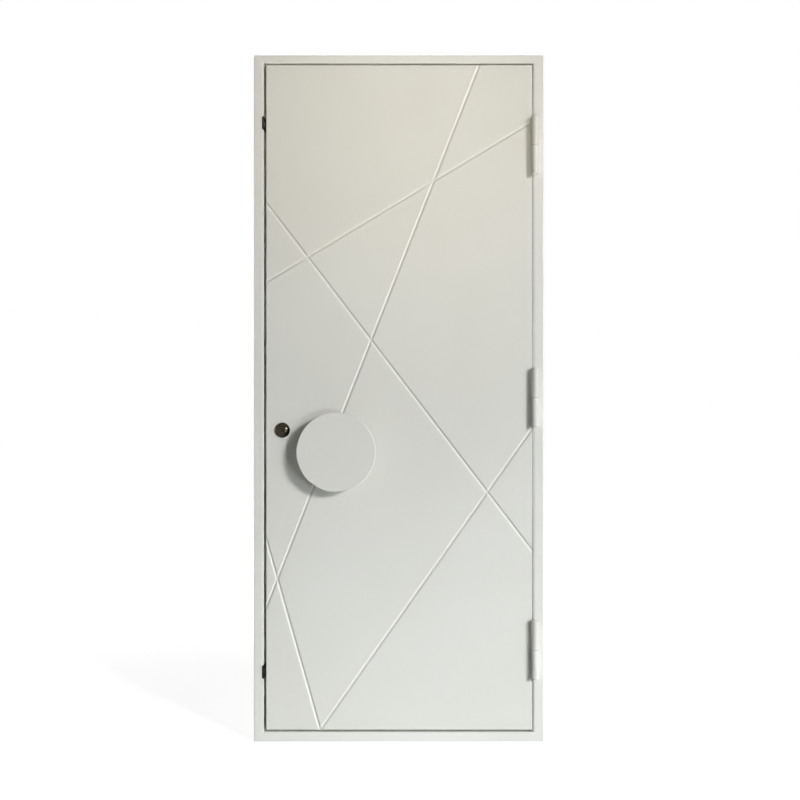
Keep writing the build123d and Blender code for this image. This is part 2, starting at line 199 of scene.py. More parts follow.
def shared_group(title: str, kind: str, inputs: dict[str, str], outputs: dict[str, str],
                 work: Callable[[Wiring, Any], dict[str, Any]]) -> bpy.types.NodeTree:
    """Build a node group, or take it if it is there.

    Args:
        title: The group's name.
        kind: The type of its tree.
        inputs: Types of its inputs by name.
        outputs: Types of its outputs by name.
        work: Lays the group's own nodes and names what feeds each output.

    Returns:
        The node group.
    """
    found = bpy.data.node_groups.get(title)
    if found:
        return found
    tree = bpy.data.node_groups.new(title, kind)
    for way, sockets in (("INPUT", inputs), ("OUTPUT", outputs)):
        for name, socket in sockets.items():
            tree.interface.new_socket(name, in_out=way, socket_type=f"NodeSocket{socket}")
    wiring = Wiring(tree)
    given = wiring.add("NodeGroupInput").outputs
    wiring.add("NodeGroupOutput", work(wiring, given))
    return tree


class Effect:
    """A shared surface effect: a shader node group that is built once."""

    title = ""
    inputs: dict[str, str] = {}
    outputs: dict[str, str] = {}

    @classmethod
    def group(cls) -> bpy.types.NodeTree:
        """Build the effect's group, or take it if it is there."""
        return shared_group(cls.title, "ShaderNodeTree", cls.inputs, cls.outputs, cls.work)

    @classmethod
    def place(cls, wiring: Wiring, values: dict[str, Any]) -> Any:
        """Put the group into a material with its own values.

        Args:
            wiring: The material's nodes.
            values: Values or source sockets by input name.

        Returns:
            The group node's outputs.
        """
        node = wiring.add("ShaderNodeGroup", node_tree=cls.group())
        for name, value in values.items():
            wiring.feed(node.inputs[name], value)
        return node.outputs

    @classmethod
    def work(cls, wiring: Wiring, given: Any) -> dict[str, Any]:
        """Lay the group's own nodes and name what feeds each output."""
        raise NotImplementedError


class SprayedCoat(Effect):
    """Colour drift, orange peel and slow waves of a sprayed coat."""

    title = "Sprayed coat"
    inputs = {
        "Colour": "Color", "Drift colour": "Color", "Drift size": "Float", "Peel size": "Float",
        "Peel height": "Float", "Wave size": "Float", "Wave height": "Float",
        "Roughness": "Float", "Roughness spread": "Float",
    }
    outputs = {"Colour": "Color", "Roughness": "Float", "Height": "Float"}
    drift_detail = 3.0
    drift_range = (0.35, 0.65)
    peel_detail = 1.0
    wave_detail = 0.0

    @classmethod
    def work(cls, wiring: Wiring, given: Any) -> dict[str, Any]:
        """Lay the nodes of the coat.

        Args:
            wiring: The group's nodes.
            given: The group's inputs.

        Returns:
            What feeds each output.
        """
        place = wiring.object_place()
        drift = wiring.noise(place, wiring.maths("DIVIDE", 1.0, given["Drift size"]), cls.drift_detail)
        share = wiring.spread(drift, *cls.drift_range, smooth=True)
        peel = wiring.noise(place, wiring.maths("DIVIDE", 1.0, given["Peel size"]), cls.peel_detail)
        wave = wiring.noise(place, wiring.maths("DIVIDE", 1.0, given["Wave size"]), cls.wave_detail)
        bumps = wiring.maths("MULTIPLY", peel, given["Peel height"])
        swell = wiring.maths("MULTIPLY", wave, given["Wave height"])
        off_middle = wiring.maths("SUBTRACT", drift, NOISE_MIDDLE)
        shift = wiring.maths("MULTIPLY", off_middle, given["Roughness spread"])
        return {
            "Colour": wiring.mix(share, given["Colour"], given["Drift colour"]),
            "Roughness": wiring.maths("ADD", given["Roughness"], shift),
            "Height": wiring.maths("ADD", bumps, swell),
        }


class SettledDust(Effect):
    """Dust in patches on what faces up."""

    title = "Settled dust"
    inputs = {"Colour": "Color", "Dust colour": "Color", "Roughness": "Float", "Amount": "Float"}
    outputs = {"Colour": "Color", "Roughness": "Float"}
    upward_range = (0.45, 0.98)
    patch_scale = 38.0
    patch_detail = 5.0
    patch_range = (0.3, 0.7)
    added_roughness = 0.4

    @classmethod
    def work(cls, wiring: Wiring, given: Any) -> dict[str, Any]:
        """Lay the nodes of the dust.

        Args:
            wiring: The group's nodes.
            given: The group's inputs.

        Returns:
            What feeds each output.
        """
        facing = wiring.out("ShaderNodeNewGeometry", "Normal")
        upward = wiring.out("ShaderNodeSeparateXYZ", "Z", {"Vector": facing})
        patches = wiring.noise(wiring.object_place(), cls.patch_scale, cls.patch_detail)
        lie = wiring.spread(upward, *cls.upward_range, smooth=True)
        cover = wiring.maths("MULTIPLY", lie, wiring.spread(patches, *cls.patch_range))
        share = wiring.maths("MULTIPLY", cover, given["Amount"])
        rougher = wiring.maths("MULTIPLY", share, cls.added_roughness)
        return {
            "Colour": wiring.mix(share, given["Colour"], given["Dust colour"]),
            "Roughness": wiring.maths("ADD", given["Roughness"], rougher),
        }


class FineScratches(Effect):
    """Hairlines and rub marks of handled metal."""

    title = "Fine scratches"
    inputs = {
        "Colour": "Color", "Scratch colour": "Color", "Scratch length": "Float", "Amount": "Float",
        "Roughness": "Float",
    }
    outputs = {"Colour": "Color", "Roughness": "Float", "Height": "Float"}
    turns = ((0.3, 0.2, 0.5), (1.1, 0.7, 2.0), (2.1, 1.6, 0.9))
    stretch = (0.12, 1.0, 1.0)
    streak_detail = 4.0
    line_width = 0.012
    rub_scale = 90.0
    rub_detail = 2.0
    rub_range = (0.45, 0.75)
    added_roughness = 0.2
    depth = 0.01 * MM

    @classmethod
    def work(cls, wiring: Wiring, given: Any) -> dict[str, Any]:
        """Lay the nodes of the scratches.

        Args:
            wiring: The group's nodes.
            given: The group's inputs.

        Returns:
            What feeds each output.
        """
        place = wiring.object_place()
        scale = wiring.maths("DIVIDE", 1.0, given["Scratch length"])
        lines = None
        for turn in cls.turns:
            turned = wiring.out(
                "ShaderNodeMapping", "Vector", {"Vector": place, "Rotation": turn, "Scale": cls.stretch},
            )
            streaks = wiring.noise(turned, scale, cls.streak_detail)
            off_middle = wiring.maths("ABSOLUTE", wiring.maths("SUBTRACT", streaks, NOISE_MIDDLE))
            line = wiring.spread(off_middle, 0.0, cls.line_width, 1.0, 0.0)
            lines = line if lines is None else wiring.maths("MAXIMUM", lines, line)
        rubbed = wiring.spread(wiring.noise(place, cls.rub_scale, cls.rub_detail), *cls.rub_range)
        share = wiring.maths("MULTIPLY", wiring.maths("MULTIPLY", lines, rubbed), given["Amount"])
        rougher = wiring.maths("MULTIPLY", share, cls.added_roughness)
        return {
            "Colour": wiring.mix(share, given["Colour"], given["Scratch colour"]),
            "Roughness": wiring.maths("ADD", given["Roughness"], rougher),
            "Height": wiring.maths("MULTIPLY", share, -cls.depth),
        }


class RubbedEdges(Effect):
    """Bare metal where a thin finish wears off along edges."""

    title = "Rubbed edges"
    inputs = {"Colour": "Color", "Bare colour": "Color", "Edge width": "Float", "Amount": "Float"}
    outputs = {"Colour": "Color", "Wear": "Float"}
    samples = 4
    edge_range = (0.99, 0.85)
    patch_scale = 260.0
    patch_detail = 4.0
    patch_range = (0.4, 0.62)

    @classmethod
    def work(cls, wiring: Wiring, given: Any) -> dict[str, Any]:
        """Lay the nodes of the worn edges.

        Args:
            wiring: The group's nodes.
            given: The group's inputs.

        Returns:
            What feeds each output.
        """
        eased = wiring.out("ShaderNodeBevel", "Normal", {"Radius": given["Edge width"]}, samples=cls.samples)
        facing = wiring.out("ShaderNodeNewGeometry", "Normal")
        node = wiring.add("ShaderNodeVectorMath", operation="DOT_PRODUCT")
        wiring.feed(node.inputs[0], eased)
        wiring.feed(node.inputs[1], facing)
        edge = wiring.spread(wiring.socket(node.outputs, "Value"), *cls.edge_range)
        spots = wiring.noise(wiring.object_place(), cls.patch_scale, cls.patch_detail)
        patches = wiring.spread(spots, *cls.patch_range)
        wear = wiring.maths("MULTIPLY", wiring.maths("MULTIPLY", edge, patches), given["Amount"])
        return {"Colour": wiring.mix(wear, given["Colour"], given["Bare colour"]), "Wear": wear}


@dataclass(frozen=True)
class Finish:
    """A finish that becomes one material."""

    name: str
    slot: Slot

    def material(self) -> bpy.types.Material:
        """Build the material.

        Returns:
            The material, with a Principled surface.
        """
        material = bpy.data.materials.new(self.name)
        material.use_nodes = True
        wiring = Wiring(material.node_tree)
        self.wire(wiring, material.node_tree.nodes["Principled BSDF"])
        return material

    def wire(self, wiring: Wiring, surface: bpy.types.Node) -> None:
        """Join the finish's nodes to the surface."""
        raise NotImplementedError


@dataclass(frozen=True)
class SatinPaint(Finish):
    """Sprayed satin paint on folded sheet and tube."""

    colour: Colour
    drift_colour: Colour
    drift_size: float = 0.6
    peel_size: float = 0.0018
    peel_height: float = 0.00003
    wave_size: float = 0.28
    wave_height: float = 0.0006
    roughness: float = 0.42
    roughness_spread: float = 0.12
    specular: float = 0.15
    dust_colour: Colour = (0.42, 0.39, 0.34)
    dust: float = 0.35

    def wire(self, wiring: Wiring, surface: bpy.types.Node) -> None:
        """Join coat and dust to the surface.

        Args:
            wiring: The material's nodes.
            surface: The Principled surface.
        """
        coat = SprayedCoat.place(wiring, {
            "Colour": rgba(self.colour), "Drift colour": rgba(self.drift_colour),
            "Drift size": self.drift_size, "Peel size": self.peel_size, "Peel height": self.peel_height,
            "Wave size": self.wave_size, "Wave height": self.wave_height,
            "Roughness": self.roughness, "Roughness spread": self.roughness_spread,
        })
        dusted = SettledDust.place(wiring, {
            "Colour": coat["Colour"], "Dust colour": rgba(self.dust_colour),
            "Roughness": coat["Roughness"], "Amount": self.dust,
        })
        bump = wiring.out("ShaderNodeBump", "Normal", {"Height": coat["Height"], "Distance": 1.0})
        surface.inputs["Specular IOR Level"].default_value = self.specular
        wiring.feed(surface.inputs["Base Color"], dusted["Colour"])
        wiring.feed(surface.inputs["Roughness"], dusted["Roughness"])
        wiring.feed(surface.inputs["Normal"], bump)


@dataclass(frozen=True)
class HandledMetal(Finish):
    """Metal under a thin finish, with hairlines and rubbed edges."""

    colour: Colour
    drift_colour: Colour
    bare_colour: Colour
    roughness: float
    scratches: float
    wear: float
    roughness_spread: float
    drift_size: float
    peel_size: float
    peel_height: float
    wave_size: float
    edge_width: float
    scratch_length: float

    def lay(self, wiring: Wiring, surface: bpy.types.Node) -> bpy.types.NodeSocket:
        """Join the finish, its rubbed edges and its hairlines to the surface.

        Args:
            wiring: The material's nodes.
            surface: The Principled surface.

        Returns:
            How far the edges are rubbed bare.
        """
        coat = SprayedCoat.place(wiring, {
            "Colour": rgba(self.colour), "Drift colour": rgba(self.drift_colour),
            "Drift size": self.drift_size, "Peel size": self.peel_size, "Peel height": self.peel_height,
            "Wave size": self.wave_size, "Wave height": 0.0,
            "Roughness": self.roughness, "Roughness spread": self.roughness_spread,
        })
        edges = RubbedEdges.place(wiring, {
            "Colour": coat["Colour"], "Bare colour": rgba(self.bare_colour),
            "Edge width": self.edge_width, "Amount": self.wear,
        })
        scratched = FineScratches.place(wiring, {
            "Colour": edges["Colour"], "Scratch colour": rgba(self.bare_colour),
            "Scratch length": self.scratch_length, "Amount": self.scratches,
            "Roughness": coat["Roughness"],
        })
        height = wiring.maths("ADD", coat["Height"], scratched["Height"])
        bump = wiring.out("ShaderNodeBump", "Normal", {"Height": height, "Distance": 1.0})
        wiring.feed(surface.inputs["Base Color"], scratched["Colour"])
        wiring.feed(surface.inputs["Roughness"], scratched["Roughness"])
        wiring.feed(surface.inputs["Normal"], bump)
        return edges["Wear"]


@dataclass(frozen=True)
class BlackCoat(HandledMetal):
    """Thin black coat on the strike plates, rubbed along its edges."""

    colour: Colour = (0.006, 0.006, 0.007)
    drift_colour: Colour = (0.011, 0.010, 0.010)
    bare_colour: Colour = (0.22, 0.21, 0.20)
    roughness: float = 0.38
    scratches: float = 0.35
    wear: float = 0.5
    roughness_spread: float = 0.2
    drift_size: float = 0.02
    peel_size: float = 0.0012
    peel_height: float = 0.00002
    wave_size: float = 0.05
    edge_width: float = 0.0006
    scratch_length: float = 0.01
    specular: float = 0.15

    def wire(self, wiring: Wiring, surface: bpy.types.Node) -> None:
        """Lay the coat and let its rubbed edges show as metal."""
        wiring.feed(surface.inputs["Metallic"], self.lay(wiring, surface))
        surface.inputs["Specular IOR Level"].default_value = self.specular


@dataclass(frozen=True)
class Plated(HandledMetal):
    """Polished or machined metal with its plating."""

    roughness_spread: float = 0.1
    drift_size: float = 0.015
    peel_size: float = 0.004
    peel_height: float = 0.000004
    wave_size: float = 0.02
    edge_width: float = 0.0005
    scratch_length: float = 0.012
    edge_tint: Colour = WHITE

    def wire(self, wiring: Wiring, surface: bpy.types.Node) -> None:
        """Lay the plating as metal all over, with the tint of its grazing light."""
        self.lay(wiring, surface)
        surface.inputs["Metallic"].default_value = 1.0
        surface.inputs["Specular Tint"].default_value = rgba(self.edge_tint)


class Coat(Enum):
    """The finishes that the door's pieces wear."""

    FRAME_PAINT = SatinPaint(
        "frame_paint", Slot.FRAME_PAINT, (0.770, 0.770, 0.730), (0.790, 0.793, 0.760), peel_size=0.0015,
    )
    LEAF_PAINT = SatinPaint("leaf_paint", Slot.LEAF_PAINT, (0.745, 0.740, 0.690), (0.765, 0.763, 0.720))
    BLACK_STRIKE = BlackCoat("black_strike", Slot.BLACK_STRIKE)
    DARK_PLATING = Plated(
        "dark_plating", Slot.DARK_PLATING, (0.027, 0.024, 0.018), (0.046, 0.039, 0.027), (0.16, 0.14, 0.11),
        roughness=0.12, scratches=0.3, wear=0.4, edge_tint=(0.22, 0.20, 0.17),
    )
    BRIGHT_STEEL = Plated(
        "bright_steel", Slot.BRIGHT_STEEL, (0.50, 0.49, 0.47), (0.58, 0.57, 0.55), (0.72, 0.71, 0.69),
        roughness=0.3, scratches=0.6, wear=0.3,
    )


class PaintShop:
    """The materials of the door, and the way they go onto its pieces."""

    def __init__(self) -> None:
        """Build one material for each coat."""
        self.materials = {coat: coat.value.material() for coat in Coat}

    def dress(self, node: str) -> None:
        """Give a solid the coat of its slot in the record.

        Args:
            node: The solid's name.
        """
        subpart = next(part for part in frame["record"]["subparts"] if part["node"] == node)
        coat = next(coat for coat in Coat if coat.value.slot.value == subpart["material_slot"])
        for place in frame["nodes"][node].material_slots:
            place.material = self.materials[coat]
        LOG.info("%s: %s", node, coat.value.name)

    @staticmethod
    def hang(piece: bpy.types.Object, body: Body, coat: Coat) -> None:
        """Set an added piece on its body."""
        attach(piece, body.value)


@dataclass(frozen=True)
class BeadPath:
    """One run of weld: the points it follows and the bead's radius."""

    points: tuple[Vector, ...]
    radius: float


def weld_run(radius: float, *corners: Any) -> BeadPath:
    """Lay a run of weld from corner to corner."""
    return BeadPath(tuple(Vector(corner) for corner in corners), radius)


def stitches(start: Vector, end: Vector, radius: float, length: float, pitch: float) -> list[BeadPath]:
    """Share out short runs of weld along a line.

    Args:
        start: Where the line starts.
        end: Where the line ends.
        radius: Radius of the beads.
        length: Length of each run.
        pitch: Largest distance from the middle of one run to the next.

    Returns:
        The runs, half a step in from both ends.
    """
    line = end - start
    count = max(1, math.ceil(line.length / pitch))
    along = line.normalized()
    step = line.length / count
    runs = []
    for index in range(count):
        middle = start + along * (index + 0.5) * step
        runs.append(weld_run(radius, middle - along * length / 2, middle + along * length / 2))
    return runs


def ring(centre: Vector, ring_radius: float, bead_radius: float, overlap: float) -> BeadPath:
    """Lay a weld round a bar along Y, a little past its own start.

    Args:
        centre: Middle of the ring.
        ring_radius: Radius of the bar.
        bead_radius: Radius of the bead.
        overlap: Angle by which the end runs over the start.

    Returns:
        The run.
    """
    first = -math.pi / 2
    sweep = 2 * math.pi + overlap
    angles = [first + sweep * index / RING_POINTS for index in range(RING_POINTS + 1)]
    points = [centre + ring_radius * Vector((math.cos(a), 0, math.sin(a))) for a in angles]
    return BeadPath(tuple(points), bead_radius)


def finished_mesh(host: bpy.types.Object, modifier: bpy.types.Modifier) -> None:
    """Turn a node tree's result into the object's own plain mesh.

    Args:
        host: The object that carries the tree.
        modifier: The tree's modifier, which is taken off.
    """
    graph = bpy.context.evaluated_depsgraph_get()
    mesh = bpy.data.meshes.new_from_object(host.evaluated_get(graph))
    host.modifiers.remove(modifier)
    host.data = mesh
    shell = bmesh.new()
    shell.from_mesh(mesh)
    bmesh.ops.remove_doubles(shell, verts=shell.verts, dist=MERGE_DISTANCE)
    bmesh.ops.recalc_face_normals(shell, faces=shell.faces)
    shell.to_mesh(mesh)
    shell.free()


def set_inputs(modifier: bpy.types.Modifier, values: dict[str, Any]) -> None:
    """Set a tree's named inputs on its modifier.

    Args:
        modifier: The modifier.
        values: The values by input name.
    """
    for item in modifier.node_group.interface.items_tree:
        if item.item_type == "SOCKET" and item.in_out == "INPUT" and item.name in values:
            modifier[item.identifier] = values[item.name]


@dataclass
class GrownPiece:
    """A piece on one body that a geometry node tree grows on a plain guide."""

    name: str
    body: Body
    coat: Coat

    title = ""
    output = ""
    inputs = {}

    def work(self, wiring: Wiring, given: Any) -> dict[str, Any]:
        """Lay the tree's own nodes and name what feeds its output."""
        raise NotImplementedError

    def guide(self) -> bpy.types.Mesh:
        """Make the mesh that the piece grows on."""
        raise NotImplementedError

    def values(self) -> dict[str, Any]:
        """Name the tree's own values."""
        raise NotImplementedError

    def build(self, shop: PaintShop) -> bpy.types.Object:
        """Grow the piece and set it on its body.

        Args:
            shop: The materials.

        Returns:
            The finished piece.
        """
        host = bpy.data.objects.new(self.name, self.guide())
        bpy.context.scene.collection.objects.link(host)
        modifier = host.modifiers.new(self.title, "NODES")
        outputs = {self.output: "Geometry"}
        modifier.node_group = shared_group(self.title, "GeometryNodeTree", self.inputs, outputs, self.work)
        set_inputs(modifier, {**self.values(), "Coat": shop.materials[self.coat]})
        finished_mesh(host, modifier)
        shop.hang(host, self.body, self.coat)
        LOG.info("%s: %d faces", self.name, len(host.data.polygons))
        return host


@dataclass
class WeldBeads(GrownPiece):
    """Rippled weld beads along the paths of one body."""

    paths: list[BeadPath]
    ripple_pitch: float = 2.4 * MM
    ripple_share: float = 0.22
    wander_share: float = 0.12
    point_spacing: float = 0.8 * MM
    sides: int = 10
    seed: int = 4

    title = "Weld bead"
    output = "Beads"
    inputs = {
        "Paths": "Geometry", "Ripple pitch": "Float", "Ripple share": "Float", "Wander share": "Float",
        "Point spacing": "Float", "Sides": "Int", "Seed": "Int", "Coat": "Material",
    }
    wander_range = (-0.5, 0.5)
    taper_reach = 1.4
    taper_start = 0.1

    def work(self, wiring: Wiring, given: Any) -> dict[str, Any]:
        """Lay the nodes of the beads.

        Args:
            wiring: The tree's nodes.
            given: The tree's inputs.

        Returns:
            What feeds the output.
        """
        line = wiring.out("GeometryNodeMeshToCurve", "Curve", {"Mesh": given["Paths"]})
        line = wiring.out(
            "GeometryNodeResampleCurve", "Curve", {"Curve": line, "Length": given["Point spacing"]},
            mode="LENGTH",
        )
        radius = wiring.out("GeometryNodeInputNamedAttribute", "Attribute", {"Name": "bead_radius"})
        run = wiring.out("GeometryNodeSplineParameter", "Length")
        total = wiring.out("GeometryNodeSplineLength", "Length")
        turn = wiring.maths("MULTIPLY", wiring.maths("DIVIDE", run, given["Ripple pitch"]), math.pi)
        valley = wiring.maths("SUBTRACT", 1.0, wiring.maths("ABSOLUTE", wiring.maths("SINE", turn)))
        ripple = wiring.maths("MULTIPLY", valley, given["Ripple share"])
        low, high = self.wander_range
        wander = wiring.out(
            "FunctionNodeRandomValue", "Value_001",
            {"Min_001": low, "Max_001": high, "Seed": given["Seed"]}, data_type="FLOAT",
        )
        wander = wiring.maths("MULTIPLY", wander, given["Wander share"])
        swell = wiring.maths("ADD", wiring.maths("SUBTRACT", 1.0, ripple), wander)
        to_end = wiring.maths("MINIMUM", run, wiring.maths("SUBTRACT", total, run))
        in_radii = wiring.maths("DIVIDE", to_end, radius)
        taper = wiring.spread(in_radii, 0.0, self.taper_reach, self.taper_start, 1.0)
        taper = wiring.maths("SQRT", taper)
        scale = wiring.maths("MULTIPLY", radius, wiring.maths("MULTIPLY", swell, taper))
        profile = wiring.out(
            "GeometryNodeCurvePrimitiveCircle", "Curve", {"Resolution": given["Sides"], "Radius": 1.0},
        )
        bead = wiring.out(
            "GeometryNodeCurveToMesh", "Mesh",
            {"Curve": line, "Profile Curve": profile, "Scale": scale, "Fill Caps": True},
        )
        bead = wiring.out("GeometryNodeSetShadeSmooth", "Geometry", {"Geometry": bead})
        bead = wiring.out("GeometryNodeRealizeInstances", "Geometry", {"Geometry": bead})
        bead = wiring.out(
            "GeometryNodeSetMaterial", "Geometry", {"Geometry": bead, "Material": given["Coat"]},
        )
        return {self.output: bead}

    def guide(self) -> bpy.types.Mesh:
        """Make the lines that the beads follow.

        Returns:
            The lines, with the bead's radius at each point.
        """
        points: list[Vector] = []
        edges: list[tuple[int, int]] = []
        radii: list[float] = []
        for path in self.paths:
            first = len(points)
            points.extend(path.points)
            radii.extend([path.radius] * len(path.points))
            edges.extend((first + index, first + index + 1) for index in range(len(path.points) - 1))
        mesh = bpy.data.meshes.new(self.name)
        mesh.from_pydata(points, edges, [])
        attribute = mesh.attributes.new("bead_radius", "FLOAT", "POINT")
        attribute.data.foreach_set("value", radii)
        return mesh

    def values(self) -> dict[str, Any]:
        """Name the values of the beads."""
        return {
            "Ripple pitch": self.ripple_pitch, "Ripple share": self.ripple_share,
            "Wander share": self.wander_share, "Point spacing": self.point_spacing,
            "Sides": self.sides, "Seed": self.seed,
        }


@dataclass
class ScrewHeads(GrownPiece):
    """Countersunk screws with a cross recess, on one body."""

    places: list[Vector]
    facing: Vector
    head_radius: float = 3.4 * MM
    head_height: float = 0.8 * MM
    recess_length: float = 3.8 * MM
    recess_width: float = 0.9 * MM
    recess_depth: float = 0.9 * MM
    seed: int = 7

    title = "Countersunk screws"
    output = "Screws"
    inputs = {
        "Places": "Geometry", "Facing": "Vector", "Head radius": "Float", "Head height": "Float",
        "Recess length": "Float", "Recess width": "Float", "Recess depth": "Float", "Seed": "Int",
        "Coat": "Material",
    }
    head_segments = 32
    head_rings = 16

    def work(self, wiring: Wiring, given: Any) -> dict[str, Any]:
        """Lay the nodes of the screws.

        Args:
            wiring: The tree's nodes.
            given: The tree's inputs.

        Returns:
            What feeds the output.
        """
        ball = wiring.out(
            "GeometryNodeMeshUVSphere", "Mesh",
            {"Segments": self.head_segments, "Rings": self.head_rings, "Radius": 1.0},
        )
        shape = wiring.out(
            "ShaderNodeCombineXYZ", "Vector",
            {"X": given["Head radius"], "Y": given["Head radius"], "Z": given["Head height"]},
        )
        head = wiring.out("GeometryNodeTransform", "Geometry", {"Geometry": ball, "Scale": shape})
        lift = wiring.out("ShaderNodeCombineXYZ", "Vector", {"Z": given["Head height"]})
        deep = wiring.maths("MULTIPLY", given["Recess depth"], 2.0)
        cuts = []
        for length, width in (("Recess length", "Recess width"), ("Recess width", "Recess length")):
            size = wiring.out(
                "ShaderNodeCombineXYZ", "Vector", {"X": given[length], "Y": given[width], "Z": deep},
            )
            bar = wiring.out("GeometryNodeMeshCube", "Mesh", {"Size": size})
            cuts.append(wiring.out(
                "GeometryNodeTransform", "Geometry", {"Geometry": bar, "Translation": lift},
            ))
        cutting = wiring.add("GeometryNodeMeshBoolean", {"Mesh 1": head}, operation="DIFFERENCE")
        for bar in cuts:
            wiring.feed(cutting.inputs["Mesh 2"], bar)
        spin = wiring.out(
            "FunctionNodeRandomValue", "Value_001",
            {"Min_001": 0.0, "Max_001": math.pi, "Seed": given["Seed"]}, data_type="FLOAT",
        )
        spun = wiring.out("FunctionNodeAxisAngleToRotation", "Rotation", {"Angle": spin})
        turned = wiring.out(
            "FunctionNodeAlignRotationToVector", "Rotation",
            {"Rotation": spun, "Vector": given["Facing"]}, axis="Z",
        )
        screws = wiring.out(
            "GeometryNodeInstanceOnPoints", "Instances",
            {"Points": given["Places"], "Instance": cutting.outputs["Mesh"], "Rotation": turned},
        )
        screws = wiring.out("GeometryNodeRealizeInstances", "Geometry", {"Geometry": screws})
        screws = wiring.out(
            "GeometryNodeSetMaterial", "Geometry", {"Geometry": screws, "Material": given["Coat"]},
        )
        return {self.output: screws}

    def guide(self) -> bpy.types.Mesh:
        """Make the points that the screws stand on.

        Returns:
            The points.
        """
        mesh = bpy.data.meshes.new(self.name)
        mesh.from_pydata(self.places, [], [])
        return mesh

    def values(self) -> dict[str, Any]:
        """Name the values of the screws."""
        return {
            "Facing": self.facing, "Head radius": self.head_radius, "Head height": self.head_height,
            "Recess length": self.recess_length, "Recess width": self.recess_width,
            "Recess depth": self.recess_depth, "Seed": self.seed,
        }


class Assembly:
    """A group of solids that are dressed together."""

    nodes: tuple[str, ...] = ()

    def dress(self, shop: PaintShop) -> None:
        """Give each solid the coat of its slot."""
        for node in self.nodes:
            shop.dress(node)


@dataclass
class TubeFrame(Assembly):
    """Mitred frame tubes, the stop tubes welded inside them, and the strip that narrows the hinge gap."""

    corner_bead: float = 2.6 * MM
    stitch_bead: float = 2.2 * MM
    stitch_length: float = 28 * MM
    stitch_pitch: float = 0.26
    seam_depth: float = 1.2 * MM
    strip_thickness: float = 3.4 * MM
    strip_setback: float = 1.2 * MM
    strip_depth: float = 10 * MM
    strip_round: float = 0.8 * MM
    strip_segments: int = 4
    strip_profile: float = 0.5

    nodes = (
        "lock_jamb", "hinge_jamb", "frame_sill", "frame_head",
        "lock_jamb_stop", "hinge_jamb_stop", "sill_stop", "head_stop",
    )

    def welds(self) -> list[BeadPath]:
        """Find the corner welds and the stitches that hold the stops.

        Returns:
            The runs of weld on the frame.
        """
        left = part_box("lock_jamb")[1].x
        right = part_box("hinge_jamb")[0].x
        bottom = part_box("frame_sill")[1].z
        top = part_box("frame_head")[0].z
        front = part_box("lock_jamb")[0].y
        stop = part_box("lock_jamb_stop")
        seam_y = stop[1].y - self.seam_depth
        runs = []
        for x in (left, right):
            for z in (bottom, top):
                start = Vector((x, front + self.corner_bead, z))
                runs.append(weld_run(self.corner_bead, start, (x, stop[0].y, z)))
        seams = [
            ((left, seam_y, bottom), (left, seam_y, top)),
            ((right, seam_y, bottom), (right, seam_y, top)),
            ((left, seam_y, bottom), (right, seam_y, bottom)),
            ((left, seam_y, top), (right, seam_y, top)),
        ]
        for start, end in seams:
            runs += stitches(
                Vector(start), Vector(end), self.stitch_bead, self.stitch_length, self.stitch_pitch,
            )
        return runs

    def gap_strip(self, shop: PaintShop) -> bpy.types.Object:
        """Set a thin flat bar on the hinge jamb's inner face.

        Args:
            shop: The materials.

        Returns:
            The finished piece.
        """
        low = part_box("hinge_jamb")[0]
        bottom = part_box("frame_sill")[1].z
        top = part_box("frame_head")[0].z
        front = low.y + self.strip_setback
        size = Vector((self.strip_thickness, self.strip_depth, top - bottom))
        side = low.x - self.strip_thickness / 2
        middle = Vector((side, front + self.strip_depth / 2, (bottom + top) / 2))
        shell = bmesh.new()
        bmesh.ops.create_cube(shell, size=1.0)
        for vertex in shell.verts:
            vertex.co = middle + Vector(share * length for share, length in zip(vertex.co, size))
        long_edges = [edge for edge in shell.edges if abs(edge.verts[0].co.z - edge.verts[1].co.z) > size.y]
        bmesh.ops.bevel(
            shell, geom=long_edges, offset=self.strip_round, segments=self.strip_segments,
            profile=self.strip_profile, affect="EDGES",
        )
        for face in shell.faces:
            face.smooth = True
        mesh = bpy.data.meshes.new(STRIP)
        shell.to_mesh(mesh)
        shell.free()
        mesh.materials.append(shop.materials[Coat.FRAME_PAINT])
        strip = bpy.data.objects.new(STRIP, mesh)
        bpy.context.scene.collection.objects.link(strip)
        shop.hang(strip, Body.FRAME, Coat.FRAME_PAINT)
        LOG.info("%s: %.1f mm thick", STRIP, self.strip_thickness / MM)
        return strip


@dataclass
class StrikePlates(Assembly):
    """Black plates in the lock jamb that the round bolts shoot into."""

    screw_step: float = 15 * MM

    nodes = ("upper_strike_plate", "lower_strike_plate")

    def screws(self) -> ScrewHeads:
        """Find the screws above and below each bolt hole.

        Returns:
            The screws on the plates' legs.
        """
        middle_y = sum(corner.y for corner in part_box("lock_forend")) / 2
        places = []
        for node in self.nodes:
            low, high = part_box(node)
            middle_z = (low.z + high.z) / 2
            for step in (-self.screw_step, self.screw_step):
                places.append(Vector((high.x, middle_y, middle_z + step)))
        return ScrewHeads("strike_screws", Body.FRAME, Coat.BLACK_STRIKE, places, Vector((1, 0, 0)))


